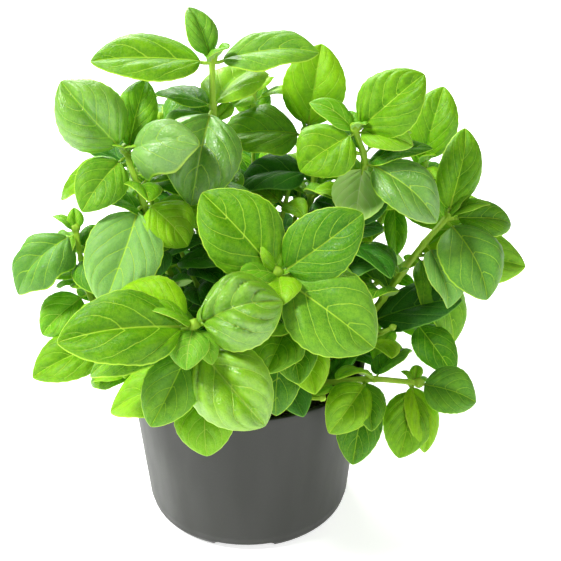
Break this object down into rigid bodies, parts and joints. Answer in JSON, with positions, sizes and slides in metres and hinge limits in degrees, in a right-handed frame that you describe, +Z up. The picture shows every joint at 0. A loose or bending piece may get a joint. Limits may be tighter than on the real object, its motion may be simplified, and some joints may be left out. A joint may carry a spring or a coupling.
{
  "type": "potted basil plant",
  "caption": "Bushy young sweet basil plant with glossy green leaves on green stems, growing in soil in a plain round dark grey plastic nursery pot.",
  "frame": {"origin": "middle of the whole plant's footprint, on the surface that the pot stands on", "axes": "+Z up along the pot's axis; -Y is the front of the plant, the side it is seen from; +X to that viewer's right"},
  "size_m": [0.269, 0.2472, 0.2771],
  "materials": {
    "pot": "satin moulded",
    "soil": "rough",
    "stem": "satin",
    "leaf": "satin, veined",
    "leaf_young": "satin, veined",
    "leaf_shaded": "satin, veined"
  },
  "bodies": {
    "root": {"pot": "pot", "soil": "soil", "stem_tall": "stem", "leaf_tall_left": "leaf", "leaf_tall_right": "leaf", "leaf_tall_crown": "leaf", "leaf_tall_hanging": "leaf", "stem_upper_left": "stem", "leaf_upper_left_outer": "leaf", "leaf_upper_left_up": "leaf", "leaf_upper_left_low": "leaf", "leaf_upper_left_inner": "leaf", "leaf_upper_left_hanging": "leaf", "leaf_upper_left_under": "leaf_young", "stem_left": "stem", "leaf_left_outer": "leaf", "leaf_left_low": "leaf_young", "leaf_left_lowest": "leaf", "stem_front_left": "stem", "leaf_front_left_long": "leaf", "leaf_front_left_back": "leaf", "leaf_front_left_gloss": "leaf", "leaf_front_left_drop": "leaf", "leaf_front_left_low": "leaf", "leaf_front_left_side": "leaf", "leaf_front_left_lowest": "leaf_young", "stem_centre": "stem", "leaf_centre_left": "leaf", "leaf_centre_right": "leaf", "leaf_centre_front": "leaf", "leaf_centre_under": "leaf", "stem_upper_right": "stem", "leaf_upper_right_out": "leaf", "leaf_upper_right_front": "leaf", "leaf_upper_right_drop": "leaf", "leaf_upper_right_under": "leaf_young", "stem_right": "stem", "leaf_right_up": "leaf", "leaf_right_out": "leaf", "leaf_right_back": "leaf", "leaf_right_folded": "leaf_young", "leaf_right_low": "leaf_shaded", "stem_low_right": "stem", "leaf_low_right_out": "leaf", "leaf_low_right_drop": "leaf", "leaf_low_right_curl": "leaf", "leaf_low_right_hang": "leaf", "stem_inner": "stem", "leaf_inner_up": "leaf", "leaf_inner_low": "leaf_shaded", "leaf_inner_left": "leaf", "stem_back_right": "stem", "leaf_back_right_up": "leaf", "leaf_back_right_out": "leaf_young", "stem_back_left": "stem", "leaf_back_left_out": "leaf_shaded", "leaf_back_left_rear": "leaf_shaded", "stem_back": "stem", "leaf_back_rear": "leaf_shaded", "leaf_back_low": "leaf_shaded"}
  },
  "joints": []
}
